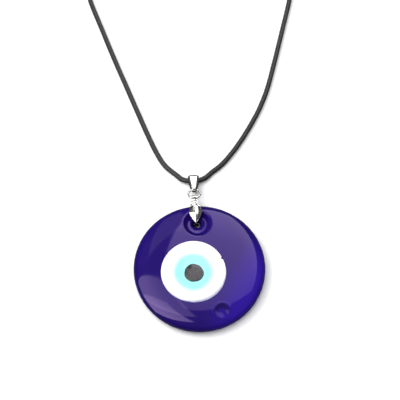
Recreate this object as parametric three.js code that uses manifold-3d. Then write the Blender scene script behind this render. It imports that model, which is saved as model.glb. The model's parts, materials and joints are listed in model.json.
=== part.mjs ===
// Glass evil eye pendant on a waxed cord, lying flat on a table.
// Millimetres, +Z up. The origin is on the table under the middle of the pendant's outline,
// +Y runs from the pendant towards the cord and +X to the right.
import * as THREE from "three";
import { mergeVertices } from "three/addons/utils/BufferGeometryUtils.js";
import Module from "manifold-3d";

const wasm = await Module();
wasm.setup();

// ---------- Driving sizes ----------

// Glass disc, in its own frame: flat back on z = 0, centre on the Z axis
const DISC_RADIUS = 25;
const BACK_ROUND = 2.4; // how far the back edge's round reaches in from the rim
const GIRDLE_Z = 2.8; // height of the widest line
const SHOULDER = 4; // how far the front edge's round reaches in from the rim
const SHOULDER_Z = 6.1;
const CROWN = 0.8; // rise of the front face from the shoulder to the middle

// Hanging hole, a wide funnel down to a narrow throat
const HOLE_X = -0.8;
const HOLE_FROM_RIM = 8.2;
const HOLE_Y = DISC_RADIUS - HOLE_FROM_RIM;
const FUNNEL_RADIUS = 5.25;
const LIP_RADIUS = 2.85;
const LIP_Z = 3.9;
const THROAT_RADIUS = 1.8;

// Round dimple left by a burst bubble near the lower right edge
const DIMPLE_X = 8.4;
const DIMPLE_Y = -17.9;
const DIMPLE_RADIUS = 2.8;
const DIMPLE_DEPTH = 1.1;

// The eye: three pours of glass, each set in the one below
const POUR_GAP = 0.3;
const WHITE_RADIUS = 12.4;
const WHITE_X = -2.2;
const WHITE_Y = -2.95;
const WHITE_FLOOR = 5;
const TURQUOISE_RADIUS = 7.25;
const TURQUOISE_X = -2.3;
const TURQUOISE_Y = -3.4;
const PUPIL_RADIUS = 3.6;
const PUPIL_X = -2.05;
const PUPIL_Y = -3.75;
const EYE_RIM_Z = 6.9; // where the white meets the glass
const EYE_RISE = 0.9; // rise of the eye from that rim to its middle
const POUR_DEPTH = 0.9; // depth of the turquoise and of the pupil

// Pinch clip, one folded strip with a leaf and a prong on each face of the glass
const CLIP_WALL = 0.5;
const CLIP_GAP = 0.3; // leaf to glass
const LEAF_HALF_WIDTH = 2.65;
const CLIP_NECK_HALF = 1;
const PRONG_X = HOLE_X - 0.55;
const PRONG_Y = HOLE_Y + 0.5;
const PRONG_RADIUS = 0.55;
const BEND_PAST_RIM = 3.6; // glass rim to the wire that the clip bends over
const BEND_Z = 3;
const BEND_ROOM = 0.2; // ring's wire to the clip's bend

// Jump ring between the clip and the bail
const RING_RADIUS = 2.27; // to the middle of the wire
const RING_WIRE = 0.4;
const RING_SLOPE = THREE.MathUtils.degToRad(-16);
const RING_CUT = THREE.MathUtils.degToRad(8);

// Bail, one folded strip around the cord and the ring
const BAIL_WALL = 0.5;
const BAIL_CORD_ROOM = 0.5; // cord to the strip
const BAIL_RING_ROOM = 0.35;
const BAIL_LENGTH = 4.45; // cord's middle to the ring's wire
const BAIL_TOP_WIDTH = 4.3;
const BAIL_FOOT_WIDTH = 1.7;
const BAIL_SEAM = 0.3;
const TABLE_GAP = 0.05;

// Everything from the clip to the bail leans to the left of the disc's middle line
const HANG_LEAN = THREE.MathUtils.degToRad(3);

// Waxed cord
const CORD_RADIUS = 1;
const CORD_SINK = 0.3; // the cord rests this much below the bail's middle
const COIL_X = -11.6;
const COIL_Y = 112.65;
const COIL_INNER = 7.9;
const COIL_OUTER = 12.1;
const COIL_HEIGHT = 4.3;

// Fittings at the cord's ends
const FITTING_Z = 1.6;
const CRIMP_RADIUS = 1.55;
const CRIMP_BORE = 1.2;
const CRIMP_LENGTH = 4.9;
const EYE_HOLE = 0.7;
const EYE_OUTER = 1.15;
const EYE_REACH = 2.3; // cord's end to the middle of the crimp's eye
const END_RING_RADIUS = 1.5;
const END_RING_WIRE = 0.3;
const CLASP_THICK = 3;
const LEVER_THICK = 0.8;
const PIN_RADIUS = 0.35;
const PIN_ROOM = 0.1;
const LINK_COUNT = 10;
const LINK_STRAIGHT = 2.4;
const LINK_HALF_WIDTH = 1.1;
const LINK_WIRE = 0.4;
const LINK_PLAY = 0.15;
const LINK_TURN = THREE.MathUtils.degToRad(10);
const LINKS_TURNING = 9;

// ---------- Shape helpers ----------

const YZ_PROFILE = new THREE.Matrix4().makeBasis(
  new THREE.Vector3(0, 1, 0),
  new THREE.Vector3(0, 0, 1),
  new THREE.Vector3(1, 0, 0),
);

// Points of an ellipse's arc, angles in degrees
function arc(x, y, radiusX, radiusY, from, to, steps) {
  const points = [];
  for (let step = 0; step <= steps; step += 1) {
    const angle = THREE.MathUtils.degToRad(from + ((to - from) * step) / steps);
    points.push(new THREE.Vector2(x + radiusX * Math.cos(angle), y + radiusY * Math.sin(angle)));
  }
  return points;
}

// A body turned about the Z axis from [radius, height] points
function turned(points, segments) {
  const profile = points.map((point) => (Array.isArray(point) ? new THREE.Vector2(...point) : point));
  return new THREE.LatheGeometry(profile, segments).rotateX(Math.PI / 2);
}

// A plate from z = low to z = high
function plate(shape, low, high, curveSegments = 12) {
  const depth = high - low;
  const geometry = new THREE.ExtrudeGeometry(shape, { depth, bevelEnabled: false, curveSegments });
  return geometry.translate(0, 0, low);
}

// A section drawn in the YZ plane, given width along X about x = 0
function folded(shape, width, curveSegments = 12) {
  const geometry = plate(shape, -width / 2, width / 2, curveSegments);
  return geometry.applyMatrix4(YZ_PROFILE);
}

// Round wire or cord along a curve
function wire(curve, radius, steps, sides) {
  const section = new THREE.Shape(arc(0, 0, radius, radius, 0, 360 - 360 / sides, sides - 1));
  const options = { steps, bevelEnabled: false, extrudePath: curve };
  return new THREE.ExtrudeGeometry(section, options);
}

// Outline of a strip of even thickness along a smooth line through [x, y] points
function strip(points, thickness, steps) {
  const line = new THREE.SplineCurve(points.map((point) => new THREE.Vector2(...point)));
  const left = [];
  const right = [];
  for (let step = 0; step <= steps; step += 1) {
    const place = line.getPointAt(step / steps);
    const along = line.getTangentAt(step / steps);
    const side = new THREE.Vector2(-along.y, along.x).multiplyScalar(thickness / 2);
    left.push(place.clone().add(side));
    right.unshift(place.clone().sub(side));
  }
  return new THREE.Shape([...left, ...right]);
}

// Outline around two circles on one axis: a big one at the origin, a small one at distance along +X
function teardrop(bigRadius, smallRadius, distance) {
  const lean = THREE.MathUtils.radToDeg(Math.acos((bigRadius - smallRadius) / distance));
  const big = arc(0, 0, bigRadius, bigRadius, lean, 360 - lean, 20);
  const small = arc(distance, 0, smallRadius, smallRadius, -lean, lean, 12);
  return [...big, ...small];
}

// A closed body for cutting and joining
function solid(geometry) {
  const bare = geometry.clone();
  bare.deleteAttribute("normal");
  bare.deleteAttribute("uv");
  const merged = mergeVertices(bare, 1e-4);
  const corners = merged.index.array;
  const faces = [];
  for (let i = 0; i < corners.length; i += 3) {
    const [a, b, c] = corners.slice(i, i + 3);
    const flat = a === b || b === c || c === a;
    if (!flat) {
      faces.push(a, b, c);
    }
  }
  const vertProperties = Float32Array.from(merged.attributes.position.array);
  const triVerts = Uint32Array.from(faces);
  return new wasm.Manifold(new wasm.Mesh({ numProp: 3, vertProperties, triVerts }));
}

function geometryOf(body) {
  const mesh = body.getMesh();
  const geometry = new THREE.BufferGeometry();
  geometry.setAttribute("position", new THREE.BufferAttribute(mesh.vertProperties, 3));
  geometry.setIndex(new THREE.BufferAttribute(mesh.triVerts, 1));
  geometry.computeVertexNormals();
  return geometry;
}

function cut(geometry, ...cutters) {
  const body = cutters.reduce((rest, cutter) => rest.subtract(solid(cutter)), solid(geometry));
  return geometryOf(body);
}

function join(...geometries) {
  const bodies = geometries.map(solid);
  return geometryOf(bodies.reduce((whole, next) => whole.add(next)));
}

function overlap(first, second) {
  return geometryOf(solid(first).intersect(solid(second)));
}

// A named piece in its own finish
function piece(parent, name, geometry, color, roughness, metalness) {
  const material = new THREE.MeshStandardMaterial({ color, roughness, metalness });
  const mesh = new THREE.Mesh(geometry, material);
  mesh.name = name;
  parent.add(mesh);
  return mesh;
}

function silverPiece(parent, name, geometry) {
  return piece(parent, name, geometry, 0xd4d4d6, 0.18, 1);
}

function groupIn(parent, x = 0, y = 0, z = 0) {
  const group = new THREE.Group();
  group.position.set(x, y, z);
  parent.add(group);
  return group;
}

// ---------- Pendant ----------

const necklace = new THREE.Group();
const pendant = groupIn(necklace);

// The disc rests on the lower edge of its flat back and on the tip of the clip's back leaf,
// so it leans back by a little over one degree.
const backFlat = DISC_RADIUS - BACK_ROUND;
const leafDrop = CLIP_GAP + CLIP_WALL;
const tilt = Math.atan(leafDrop / (PRONG_Y - PRONG_RADIUS + backFlat));
const tiltGroup = groupIn(pendant, 0, -backFlat, 0);
tiltGroup.rotation.x = tilt;
const disc = groupIn(tiltGroup, 0, backFlat, 0);

const frontTop = SHOULDER_Z + CROWN;
const shoulderRadius = DISC_RADIUS - SHOULDER;

function frontHeight(radius) {
  return frontTop - CROWN * (radius / shoulderRadius) ** 2;
}

function discBody() {
  const profile = [
    [0, 0],
    ...arc(backFlat, GIRDLE_Z, BACK_ROUND, GIRDLE_Z, -90, 0, 6),
    ...arc(shoulderRadius, GIRDLE_Z, SHOULDER, SHOULDER_Z - GIRDLE_Z, 10, 90, 7),
    [shoulderRadius * 0.75, frontHeight(shoulderRadius * 0.75)],
    [shoulderRadius * 0.5, frontHeight(shoulderRadius * 0.5)],
    [0, frontTop],
  ];
  return turned(profile, 64);
}

// Funnel, throat and back flare of the hanging hole, reaching past both faces
function holeCutter() {
  const profile = [
    [0, -1],
    [THROAT_RADIUS + 0.6, -1],
    [THROAT_RADIUS + 0.6, 0],
    [THROAT_RADIUS, 0.6],
    [THROAT_RADIUS, LIP_Z - 1.3],
    [LIP_RADIUS, LIP_Z],
    [FUNNEL_RADIUS - 0.6, SHOULDER_Z - 0.8],
    [FUNNEL_RADIUS, SHOULDER_Z + 0.3],
    [FUNNEL_RADIUS + 0.3, frontTop + 1],
    [0, frontTop + 1],
  ];
  return turned(profile, 32).translate(HOLE_X, HOLE_Y, 0);
}

function dimpleCutter() {
  const rise = (DIMPLE_RADIUS ** 2 - DIMPLE_DEPTH ** 2) / (2 * DIMPLE_DEPTH);
  const ball = new THREE.SphereGeometry(rise + DIMPLE_DEPTH, 32, 24);
  const front = frontHeight(Math.hypot(DIMPLE_X, DIMPLE_Y));
  return ball.translate(DIMPLE_X, DIMPLE_Y, front + rise);
}

function eyeSocket(radius, floor, x, y) {
  const profile = [[0, floor], [radius, floor], [radius, frontTop + 3], [0, frontTop + 3]];
  return turned(profile, 48).translate(x, y, 0);
}

// The eye's own crown, measured from the middle of the white
function eyeHeight(radius) {
  return EYE_RIM_Z + EYE_RISE * (1 - (radius / WHITE_RADIUS) ** 2);
}

function pour(radius, floor, lift) {
  const rings = [1, 0.8, 0.55, 0.3, 0];
  const crown = rings.map((share) => [radius * share, eyeHeight(radius * share) + lift]);
  return turned([[0, floor], [radius - 0.3, floor], [radius, floor + 0.3], ...crown], 48);
}

const turquoiseFloor = eyeHeight(TURQUOISE_RADIUS) - POUR_DEPTH;
const pupilFloor = eyeHeight(PUPIL_RADIUS) - POUR_DEPTH / 2;

const whiteSocket = eyeSocket(WHITE_RADIUS + POUR_GAP, WHITE_FLOOR - POUR_GAP, WHITE_X, WHITE_Y);
const turquoiseSocket = eyeSocket(
  TURQUOISE_RADIUS + POUR_GAP,
  turquoiseFloor - POUR_GAP,
  TURQUOISE_X,
  TURQUOISE_Y,
);
const pupilSocket = eyeSocket(PUPIL_RADIUS + POUR_GAP, pupilFloor - POUR_GAP, PUPIL_X, PUPIL_Y);

const glass = cut(discBody(), holeCutter(), dimpleCutter(), whiteSocket);
const white = cut(pour(WHITE_RADIUS, WHITE_FLOOR, 0).translate(WHITE_X, WHITE_Y, 0), turquoiseSocket);
const turquoise = cut(
  pour(TURQUOISE_RADIUS, turquoiseFloor, 0.05).translate(TURQUOISE_X, TURQUOISE_Y, 0),
  pupilSocket,
);
const pupil = pour(PUPIL_RADIUS, pupilFloor, 0.1).translate(PUPIL_X, PUPIL_Y, 0);

piece(disc, "glass_disc", glass, 0x1a0a8c, 0.06, 0);
piece(disc, "eye_white", white, 0xfaf8fa, 0.12, 0);
piece(disc, "eye_turquoise", turquoise, 0xa6f4f4, 0.12, 0);
piece(disc, "eye_pupil", pupil, 0x35363c, 0.15, 0);

// ---------- Pinch clip ----------

// Clip frame: origin on the prongs' line at the back face, +Y towards the bail
const clip = groupIn(disc, PRONG_X, PRONG_Y, 0);
clip.rotation.z = HANG_LEAN;

// The front face falls away to the rim, and the leaf follows it
const rimReach = DISC_RADIUS - PRONG_Y;
const leafTop = SHOULDER_Z + CLIP_GAP + CLIP_WALL / 2 + 0.5;
const leafBack = -CLIP_GAP - CLIP_WALL / 2;
const bendRadius = RING_WIRE + BEND_ROOM + CLIP_WALL / 2;
const bendReach = rimReach + BEND_PAST_RIM;

function clipStrip() {
  const bend = arc(bendReach, BEND_Z, bendRadius, bendRadius, 110, -110, 6);
  const line = [
    [0, leafTop - 0.7],
    [1.4, leafTop - 0.25],
    [3.6, leafTop + 0.1],
    [rimReach - 1.9, leafTop - 0.2],
    [rimReach + 0.2, leafTop - 1.3],
    [rimReach + 1.8, (leafTop + BEND_Z) / 2],
    ...bend.map((point) => [point.x, point.y]),
    [rimReach + 1.9, (leafBack + BEND_Z) / 2],
    [rimReach + 0.5, leafBack + 0.35],
    [rimReach - 1.2, leafBack],
    [3.6, leafBack],
    [0, leafBack],
  ];
  return folded(strip(line, CLIP_WALL, 44), 3 * LEAF_HALF_WIDTH);
}

function leafOutline() {
  const half = [
    [0, -0.25],
    [0.6, -0.05],
    [1.05, 0.9],
    [LEAF_HALF_WIDTH * 0.8, 2.5],
    [LEAF_HALF_WIDTH, 3.9],
    [LEAF_HALF_WIDTH * 0.92, 5.4],
    [LEAF_HALF_WIDTH * 0.74, bendReach - 4.3],
    [CLIP_NECK_HALF * 1.4, bendReach - 2.5],
    [CLIP_NECK_HALF, bendReach - 1],
    [CLIP_NECK_HALF, bendReach + 2],
  ];
  const right = half.map(([x, y]) => new THREE.Vector2(x, y));
  const left = half.slice(1).map(([x, y]) => new THREE.Vector2(-x, y));
  return new THREE.Shape([...right, ...left.reverse()]);
}

// Prongs point at each other inside the hole and stop short of meeting
function prong(root, tip) {
  const half = PRONG_RADIUS / 2;
  const low = Math.min(root, tip);
  const high = Math.max(root, tip);
  const lowRadius = root < tip ? PRONG_RADIUS : half;
  const highRadius = root < tip ? half : PRONG_RADIUS;
  const shape = [[0, low], [lowRadius, low], [highRadius, high], [0, high]];
  return turned(shape, 12).translate(0, PRONG_RADIUS * 0.6, 0);
}

const leafPlate = plate(leafOutline(), -3, SHOULDER_Z + 4);
const clipBody = join(
  overlap(clipStrip(), leafPlate),
  prong(leafTop - 0.6, LIP_Z - 0.6),
  prong(leafBack, LIP_Z - 1.6),
);
silverPiece(clip, "pinch_clip", clipBody);

// ---------- Jump ring and bail ----------

necklace.updateMatrixWorld(true);
const lowerWire = clip.localToWorld(new THREE.Vector3(0, bendReach, BEND_Z));
const ringGroup = groupIn(pendant, lowerWire.x, lowerWire.y, lowerWire.z);
ringGroup.rotation.z = HANG_LEAN;
const ringPlane = groupIn(ringGroup);
ringPlane.rotation.x = RING_SLOPE;

class RingArc extends THREE.Curve {
  constructor(radius, cutAngle, cutAt) {
    super();
    this.radius = radius;
    this.from = cutAt + cutAngle / 2;
    this.sweep = 2 * Math.PI - cutAngle;
  }

  getPoint(share, target = new THREE.Vector3()) {
    const angle = this.from + this.sweep * share;
    return target.set(this.radius * Math.cos(angle), this.radius * Math.sin(angle), 0);
  }
}

// The ring was closed with its cut at the lower left
const ringArc = new RingArc(RING_RADIUS, RING_CUT, Math.PI * 1.12);
const ringBody = wire(ringArc, RING_WIRE, 26, 8).translate(0, RING_RADIUS, 0);
silverPiece(ringPlane, "pendant_ring", ringBody);

necklace.updateMatrixWorld(true);
const upperWire = ringPlane.localToWorld(new THREE.Vector3(0, 2 * RING_RADIUS, 0));
const bailCordRadius = CORD_RADIUS + BAIL_CORD_ROOM;
const bailRingRadius = RING_WIRE + BAIL_RING_ROOM;
const bailOuterRadius = bailCordRadius + BAIL_WALL;
const cordHoleZ = bailOuterRadius + TABLE_GAP;
const bailDrop = upperWire.z - cordHoleZ;
const bailRun = Math.sqrt(BAIL_LENGTH ** 2 - bailDrop ** 2);

// Bail frame: origin on the middle of its cord hole
const bail = groupIn(pendant, upperWire.x, upperWire.y, cordHoleZ);
bail.rotation.z = HANG_LEAN;
const bailMiddle = groupIn(bail, 0, bailRun, 0);

function bailStrip() {
  const outer = teardrop(bailOuterRadius, bailRingRadius + BAIL_WALL, BAIL_LENGTH);
  const inner = teardrop(bailCordRadius, bailRingRadius, BAIL_LENGTH);
  const shape = new THREE.Shape(outer);
  shape.holes.push(new THREE.Path(inner));
  const slope = Math.PI - Math.asin(bailDrop / BAIL_LENGTH);
  return folded(shape, BAIL_TOP_WIDTH).rotateX(slope);
}

function bailOutline() {
  const top = BAIL_TOP_WIDTH / 2;
  const foot = BAIL_FOOT_WIDTH / 2;
  const half = [
    [top, bailOuterRadius + 1],
    [top, 0.8],
    [top * 0.88, -1.2],
    [top * 0.66, -bailRun + 0.7],
    [foot, -bailRun - 0.3],
    [foot, -bailRun - 3],
  ];
  const right = half.map(([x, y]) => new THREE.Vector2(x, y));
  const left = half.map(([x, y]) => new THREE.Vector2(-x, y));
  return new THREE.Shape([...left.reverse(), ...right]);
}

// The strip's two ends meet in a fine seam at the back, just above the ring
const seam = new THREE.BoxGeometry(2 * BAIL_TOP_WIDTH, BAIL_SEAM, 3 * BAIL_WALL);
const seamZ = (bailDrop * 1.2) / bailRun - bailCordRadius;
seam.translate(0, -1.2, seamZ - BAIL_WALL);
const bailPlate = plate(bailOutline(), -bailOuterRadius - 1, bailOuterRadius + bailDrop + 1);
silverPiece(bailMiddle, "bail", cut(overlap(bailStrip(), bailPlate), seam));

// ---------- Cord ----------

// Cord frame: on the table under the bail's cord hole. The route's points are chosen by hand.
necklace.updateMatrixWorld(true);
const cordHole = bailMiddle.localToWorld(new THREE.Vector3());
const cord = groupIn(necklace, cordHole.x, cordHole.y, 0);
const inBailZ = cordHoleZ - CORD_SINK;

const ROUTE = [
  [-5.0, 101.1, 1.02], [-6.6, 99.85, 1.02], [-10.6, 98.75, 1.02], [-14.6, 98.75, 1.02], [-21.6, 98.75, 1.02],
  [-30.6, 98.75, 1.02], [-38.2, 98.7, 1.02], [-42.2, 97.6, 1.02], [-45.2, 94.7, 1.02],
  [-46.3, 90.8, 1.02], [-45.7, 87.85, 1.02], [-39.7, 72.15, 1.02], [-33.7, 56.85, 1.02],
  [-27.6, 42.05, 1.02], [-21.7, 27.75, 1.02], [-18.2, 19.45, 1.02], [-15.7, 13.95, 1.02],
  [-12.7, 8.45, 1.02], [-10.8, 6.05, 1.02], [-9.0, 4.45, 1.02], [-7.0, 2.75, 1.1],
  [-4.9, 0.8, 1.4], [-2.6, -0.12, 1.7], [0, 0, 1.75], [2.5, 0.16, 1.7],
  [4.6, 1.25, 1.4], [6.1, 2.65, 1.1], [7.6, 4.15, 1.02], [9.6, 5.75, 1.02],
  [12.3, 8.45, 1.02], [16.5, 13.95, 1.02], [20.0, 19.45, 1.02], [24.6, 27.75, 1.02],
  [27.3, 33.45, 1.02], [30.5, 42.05, 1.02], [34.4, 56.85, 1.02], [38.1, 72.15, 1.02],
  [41.8, 87.85, 1.02], [42.0, 89.75, 1.02], [40.9, 93.75, 1.02], [38.0, 96.65, 1.02],
  [34.0, 97.75, 1.02], [26.4, 97.75, 1.02], [18.4, 97.75, 1.02], [12.4, 97.75, 1.02],
  [7.4, 97.75, 1.02], [3.4, 98.85, 1.02], [0.5, 101.75, 1.02], [-0.4, 104.5, 1.02],
];
const LEFT_TAIL = [
  [-2.0, 103.68, 3.32], [1.0, 103.68, 3.32], [4.3, 104.2, 3.2], [7.2, 106.2, 2.5],
  [9.1, 109.2, 1.75], [10.1, 112.2, 1.6], [10.5, 114.4, 1.6], [10.9, 116.6, 1.6],
];
const RIGHT_TAIL = [
  [-4.6, 101.62, 3.32], [-1.0, 101.62, 3.32], [2.6, 101.65, 3.28], [6.0, 101.8, 2.5],
  [8.8, 102.5, 1.75], [11.4, 104.1, 1.6], [13.1, 105.5, 1.6], [14.8, 106.9, 1.6],
];

function cordPiece(name, route, steps) {
  const curve = new THREE.CatmullRomCurve3(route.map((point) => new THREE.Vector3(...point)));
  piece(cord, name, wire(curve, CORD_RADIUS, steps, 8), 0x262626, 0.5, 0);
}

const routeThroughBail = ROUTE.map(([x, y, z]) => [x, y, x === 0 ? inBailZ : z]);
cordPiece("cord", routeThroughBail, 72);
cordPiece("cord_tail_left", LEFT_TAIL, 8);
cordPiece("cord_tail_right", RIGHT_TAIL, 8);

const coilSection = [
  [COIL_INNER, 0.6],
  [COIL_INNER + 0.6, 0],
  [COIL_OUTER - 0.6, 0],
  [COIL_OUTER, 0.6],
  [COIL_OUTER, COIL_HEIGHT - 0.6],
  [COIL_OUTER - 0.6, COIL_HEIGHT],
  [COIL_INNER + 0.6, COIL_HEIGHT],
  [COIL_INNER, COIL_HEIGHT - 0.6],
  [COIL_INNER, 0.6],
];
const coil = turned(coilSection, 36).translate(COIL_X, COIL_Y, 0);
piece(cord, "cord_coil", coil, 0x262626, 0.5, 0);

// ---------- Fittings at the cord's ends ----------

function eyePlate(low, high, outer, hole) {
  const shape = new THREE.Shape(arc(0, 0, outer, outer, 0, 345, 23));
  shape.holes.push(new THREE.Path(arc(0, 0, hole, hole, 0, 337.5, 15)));
  return plate(shape, low, high);
}

// Crimp end: a C of sheet metal closed round the cord, with a flat eye. Frame: cord's end, +X outwards
function crimpBody() {
  const slit = 22;
  const wrap = new THREE.Shape([
    ...arc(0, 0, CRIMP_RADIUS, CRIMP_RADIUS, 90 + slit, 450 - slit, 20),
    ...arc(0, 0, CRIMP_BORE, CRIMP_BORE, 450 - slit, 90 + slit, 20),
  ]);
  const wall = CRIMP_RADIUS - CRIMP_BORE;
  const sleeve = folded(wrap, CRIMP_LENGTH).translate(CRIMP_LENGTH / 2 - CRIMP_LENGTH + 0.5, 0, 0);
  const cap = new THREE.CylinderGeometry(CRIMP_RADIUS, CRIMP_RADIUS, wall, 20);
  cap.rotateZ(Math.PI / 2).translate(0.3 + wall / 2, 0, 0);
  const neck = new THREE.BoxGeometry(EYE_REACH - EYE_HOLE - 0.35, 1.3, 0.6);
  neck.translate((EYE_REACH - EYE_HOLE - 0.35) / 2 + 0.35, 0, 0);
  const eye = eyePlate(-0.3, 0.3, EYE_OUTER, EYE_HOLE).translate(EYE_REACH, 0, 0);
  return join(sleeve, cap, neck, eye);
}

function crimp(name, route) {
  const end = new THREE.Vector3(...route.at(-1));
  const before = new THREE.Vector3(...route.at(-2));
  const group = groupIn(cord, end.x, end.y, FITTING_Z);
  group.rotation.z = Math.atan2(end.y - before.y, end.x - before.x);
  silverPiece(group, name, crimpBody());
  return groupIn(group, EYE_REACH, 0, 0);
}

// Upright jump ring through an eye; returns the group at its far side
function endRing(parent, name) {
  const lift = END_RING_RADIUS + END_RING_WIRE + TABLE_GAP - FITTING_Z;
  const middle = Math.sqrt(END_RING_RADIUS ** 2 - lift ** 2);
  const group = groupIn(parent, middle, 0, lift);
  const curve = new RingArc(END_RING_RADIUS, RING_CUT, Math.PI / 2);
  silverPiece(group, name, wire(curve, END_RING_WIRE, 20, 8).rotateX(Math.PI / 2));
  return groupIn(group, END_RING_RADIUS, 0, -lift);
}

const claspEye = crimp("crimp_clasp_end", RIGHT_TAIL);
const claspStart = endRing(claspEye, "clasp_ring");
const chainEye = crimp("crimp_chain_end", LEFT_TAIL);
const chainStart = endRing(chainEye, "chain_ring");

// Lobster clasp lying flat. Frame: its eye, +X towards the nose
const clasp = groupIn(claspStart, 0, 0, CLASP_THICK / 2 + TABLE_GAP - FITTING_Z);
const claspHalf = CLASP_THICK / 2;
const clawX = 7.25;
const clawOuter = 3.1;
const clawInner = 2.05;
const pivotX = 3.3;
const pivotY = 0.45;
const slotLow = -0.95;
const slotHigh = 1.1;
const leverHalf = 0.45;
const leverRoom = 0.15;
const leverEnd = 62; // degrees round the claw to the lever's tip

function leverLine(reach) {
  const bow = (clawOuter + clawInner) / 2;
  const nose = arc(clawX, 0, bow, bow, 150, reach, 6);
  return [[pivotX, pivotY], ...nose.map((point) => [point.x, point.y])];
}

// What the lever's tip sweeps as it opens inwards, taken out of the nose
function leverSweep() {
  const bow = (clawOuter + clawInner) / 2 + leverHalf;
  const tip = arc(clawX - pivotX, -pivotY, bow, bow, leverEnd, leverEnd, 1)[0];
  const reach = tip.length() + leverRoom;
  const start = THREE.MathUtils.radToDeg(tip.angle()) + 2;
  const end = start - 28;
  const inner = reach - 1.2;
  const outline = [
    ...arc(pivotX, pivotY, reach, reach, start, end, 8),
    ...arc(pivotX, pivotY, inner, inner, end, start, 8),
  ];
  return plate(new THREE.Shape(outline), -2, 2);
}

function clawBody() {
  const outline = teardrop(clawOuter, 1.25, clawX - 2.2);
  const shape = new THREE.Shape(outline);
  const claw = plate(shape, -claspHalf, claspHalf).rotateZ(Math.PI).translate(clawX, 0, 0);
  const root = eyePlate(-0.5, 0.5, EYE_OUTER, EYE_HOLE);
  const neck = new THREE.BoxGeometry(1, 1.4, 1).translate(1.2, 0, 0);
  const hollow = plate(new THREE.Shape(arc(0, 0, clawInner, clawInner, 0, 350, 35)), -2, 2);
  hollow.translate(clawX, -0.1, 0);
  const mouth = plate(strip(leverLine(54), 2 * leverHalf + 1, 24), -2, 2);
  const inward = new THREE.Shape(arc(pivotX + 1.9, -0.1, 1.5, 1.2, 0, 345, 23));
  const slot = plate(new THREE.Shape(arc(0, 0, 1.15, 1.15, 0, 345, 23)), slotLow, slotHigh);
  slot.translate(pivotX, pivotY, 0);
  const side = new THREE.BoxGeometry(2.4, 2.6, slotHigh - slotLow);
  side.translate(pivotX + 0.9, pivotY + 1.3, (slotHigh + slotLow) / 2);
  const mouthPast = new THREE.BoxGeometry(10, 10, 4).translate(pivotX + 6.3, 5, 0);
  const opening = overlap(mouth, mouthPast);
  const pinHole = turned([[0, -2], [PIN_RADIUS, -2], [PIN_RADIUS, 2], [0, 2]], 16);
  pinHole.translate(pivotX, pivotY, 0);
  const room = plate(inward, slotLow, slotHigh);
  return cut(join(claw, root, neck), hollow, opening, slot, side, room, pinHole, leverSweep());
}

function leverBody() {
  const arm = plate(strip(leverLine(leverEnd), 2 * leverHalf, 24), -LEVER_THICK / 2, LEVER_THICK / 2);
  const root = plate(
    new THREE.Shape(arc(pivotX, pivotY, 0.85, 0.85, 0, 345, 23)),
    -LEVER_THICK / 2,
    LEVER_THICK / 2,
  );
  const thumb = new THREE.CylinderGeometry(0.75, 0.75, LEVER_THICK, 16).rotateX(Math.PI / 2);
  thumb.translate(pivotX + 2.3, pivotY + 2.3, 0);
  const pinRoom = PIN_RADIUS + PIN_ROOM;
  const bore = turned([[0, -2], [pinRoom, -2], [pinRoom, 2], [0, 2]], 16);
  return cut(join(arm, root, thumb), bore.translate(pivotX, pivotY, 0)).translate(0, 0, -0.42);
}

class Helix extends THREE.Curve {
  getPoint(share, target = new THREE.Vector3()) {
    const angle = 4 * Math.PI * share;
    return target.set(0.68 * Math.cos(angle), 0.68 * Math.sin(angle), 0.62 * share);
  }
}

const pinProfile = [[0, -claspHalf], [PIN_RADIUS - 0.02, -claspHalf], [PIN_RADIUS - 0.02, claspHalf]];
const pinBody = turned([...pinProfile, [0, claspHalf]], 16).translate(pivotX, pivotY, 0);
const springBody = wire(new Helix(), 0.13, 24, 6).translate(pivotX, pivotY, 0.2);
silverPiece(clasp, "clasp_body", clawBody());
silverPiece(clasp, "clasp_lever", leverBody());
silverPiece(clasp, "clasp_pin", pinBody);
silverPiece(clasp, "clasp_spring", springBody);

// Extension chain: oval links, flat and upright in turn, laid in a curve
class LinkLoop extends THREE.Curve {
  getPoint(share, target = new THREE.Vector3()) {
    const bow = Math.PI * LINK_HALF_WIDTH;
    const round = 2 * (bow + LINK_STRAIGHT);
    const place = (share % 1) * round;
    const half = LINK_STRAIGHT / 2;
    const turnedOver = place >= round / 2;
    const along = turnedOver ? place - round / 2 : place;
    const sign = turnedOver ? -1 : 1;
    const straight = along < LINK_STRAIGHT;
    const angle = straight ? 0 : (along - LINK_STRAIGHT) / LINK_HALF_WIDTH;
    const x = straight ? along - half : half + LINK_HALF_WIDTH * Math.sin(angle);
    const y = -LINK_HALF_WIDTH * Math.cos(angle);
    return target.set(sign * x, sign * y, 0);
  }
}

function linkBody() {
  const points = [];
  const loop = new LinkLoop();
  for (let step = 0; step < 14; step += 1) {
    points.push(loop.getPoint(step / 14 + 0.02));
  }
  const smooth = new THREE.CatmullRomCurve3(points, true);
  const gap = 0.004;
  const open = new THREE.Curve();
  open.getPoint = (share) => smooth.getPointAt(gap + (1 - 2 * gap) * share);
  return wire(open, LINK_WIRE, 16, 8);
}

const linkReach = LINK_STRAIGHT / 2 + LINK_HALF_WIDTH;
const wireToWire = LINK_WIRE * 2 + LINK_PLAY;
const ringToLink = LINK_WIRE + END_RING_WIRE + LINK_PLAY;
const chainZ = LINK_HALF_WIDTH + LINK_WIRE + TABLE_GAP - FITTING_Z;
let joint = groupIn(chainStart, -ringToLink / 2, 0, chainZ);
let overlapLength = ringToLink;
for (let number = 1; number <= LINK_COUNT; number += 1) {
  joint.rotation.z = number <= LINKS_TURNING ? LINK_TURN : 0;
  const middle = linkReach - overlapLength / 2;
  const link = groupIn(joint, middle, 0, 0);
  link.rotation.x = number % 2 === 0 ? Math.PI / 2 : 0;
  silverPiece(link, `chain_link_${String(number).padStart(2, "0")}`, linkBody());
  overlapLength = wireToWire;
  joint = groupIn(joint, middle + linkReach - overlapLength / 2, 0, 0);
}

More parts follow.
